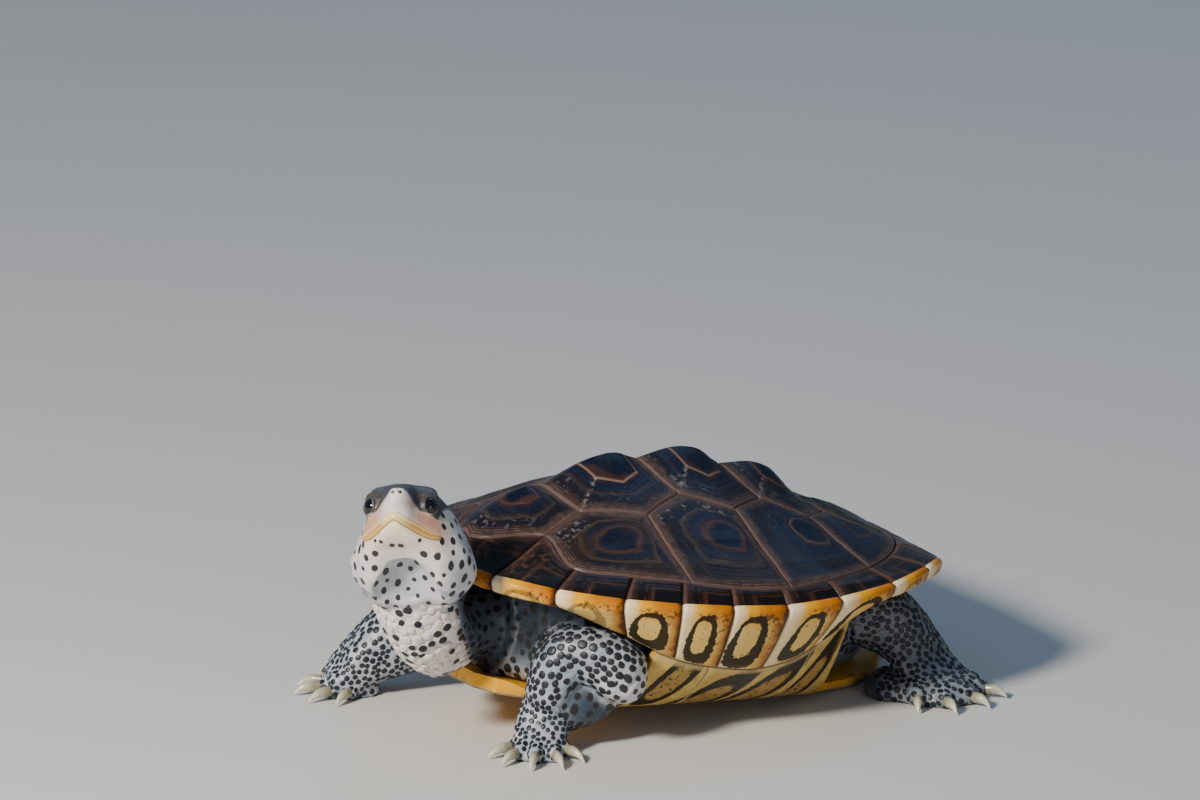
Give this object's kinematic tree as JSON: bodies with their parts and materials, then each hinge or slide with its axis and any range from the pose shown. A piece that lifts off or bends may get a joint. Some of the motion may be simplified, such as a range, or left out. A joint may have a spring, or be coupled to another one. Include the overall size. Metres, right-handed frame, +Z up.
{
  "type": "diamondback terrapin",
  "caption": "Life-size standing diamondback terrapin, an adult female with raised, turned head, keeled and ridged shell, spotted skin and webbed, clawed feet.",
  "frame": {"origin": "on the floor plane, under the middle of the model's outer box", "axes": "+Z up, the animal faces -Y, its left side is +X"},
  "size_m": [0.15, 0.2258, 0.094],
  "materials": {
    "carapace_horn": "dark, smooth, slightly glossy horn scutes with growth ridges and paler worn edges",
    "plastron_horn": "yellow-orange horn plates with dark marks on the bridges",
    "skin": "moist, finely pebbled grey to whitish skin with round black spots",
    "beak": "pale, satin horn beak",
    "eye": "wet, nearly black eye",
    "claw": "ivory horn"
  },
  "bodies": {
    "root": {"nuchal": "carapace_horn", "vertebral_1": "carapace_horn", "vertebral_2": "carapace_horn", "vertebral_3": "carapace_horn", "vertebral_4": "carapace_horn", "vertebral_5": "carapace_horn", "costal_left_1": "carapace_horn", "costal_left_2": "carapace_horn", "costal_left_3": "carapace_horn", "costal_left_4": "carapace_horn", "costal_right_1": "carapace_horn", "costal_right_2": "carapace_horn", "costal_right_3": "carapace_horn", "costal_right_4": "carapace_horn", "marginals_left": "carapace_horn", "marginals_right": "carapace_horn", "gular_left": "plastron_horn", "gular_right": "plastron_horn", "humeral_left": "plastron_horn", "humeral_right": "plastron_horn", "pectoral_left": "plastron_horn", "pectoral_right": "plastron_horn", "abdominal_left": "plastron_horn", "abdominal_right": "plastron_horn", "femoral_left": "plastron_horn", "femoral_right": "plastron_horn", "anal_left": "plastron_horn", "anal_right": "plastron_horn", "trunk": "skin", "neck": "skin", "tail": "skin", "head": "skin", "leg_front_left": "skin", "leg_front_right": "skin", "leg_hind_left": "skin", "leg_hind_right": "skin", "lower_jaw": "beak", "eye_left": "eye", "eye_right": "eye", "claw_front_left_1": "claw", "claw_front_left_2": "claw", "claw_front_left_3": "claw", "claw_front_left_4": "claw", "claw_front_left_5": "claw", "claw_front_right_1": "claw", "claw_front_right_2": "claw", "claw_front_right_3": "claw", "claw_front_right_4": "claw", "claw_front_right_5": "claw", "claw_hind_left_1": "claw", "claw_hind_left_2": "claw", "claw_hind_left_3": "claw", "claw_hind_left_4": "claw", "claw_hind_right_1": "claw", "claw_hind_right_2": "claw", "claw_hind_right_3": "claw", "claw_hind_right_4": "claw"}
  },
  "joints": []
}
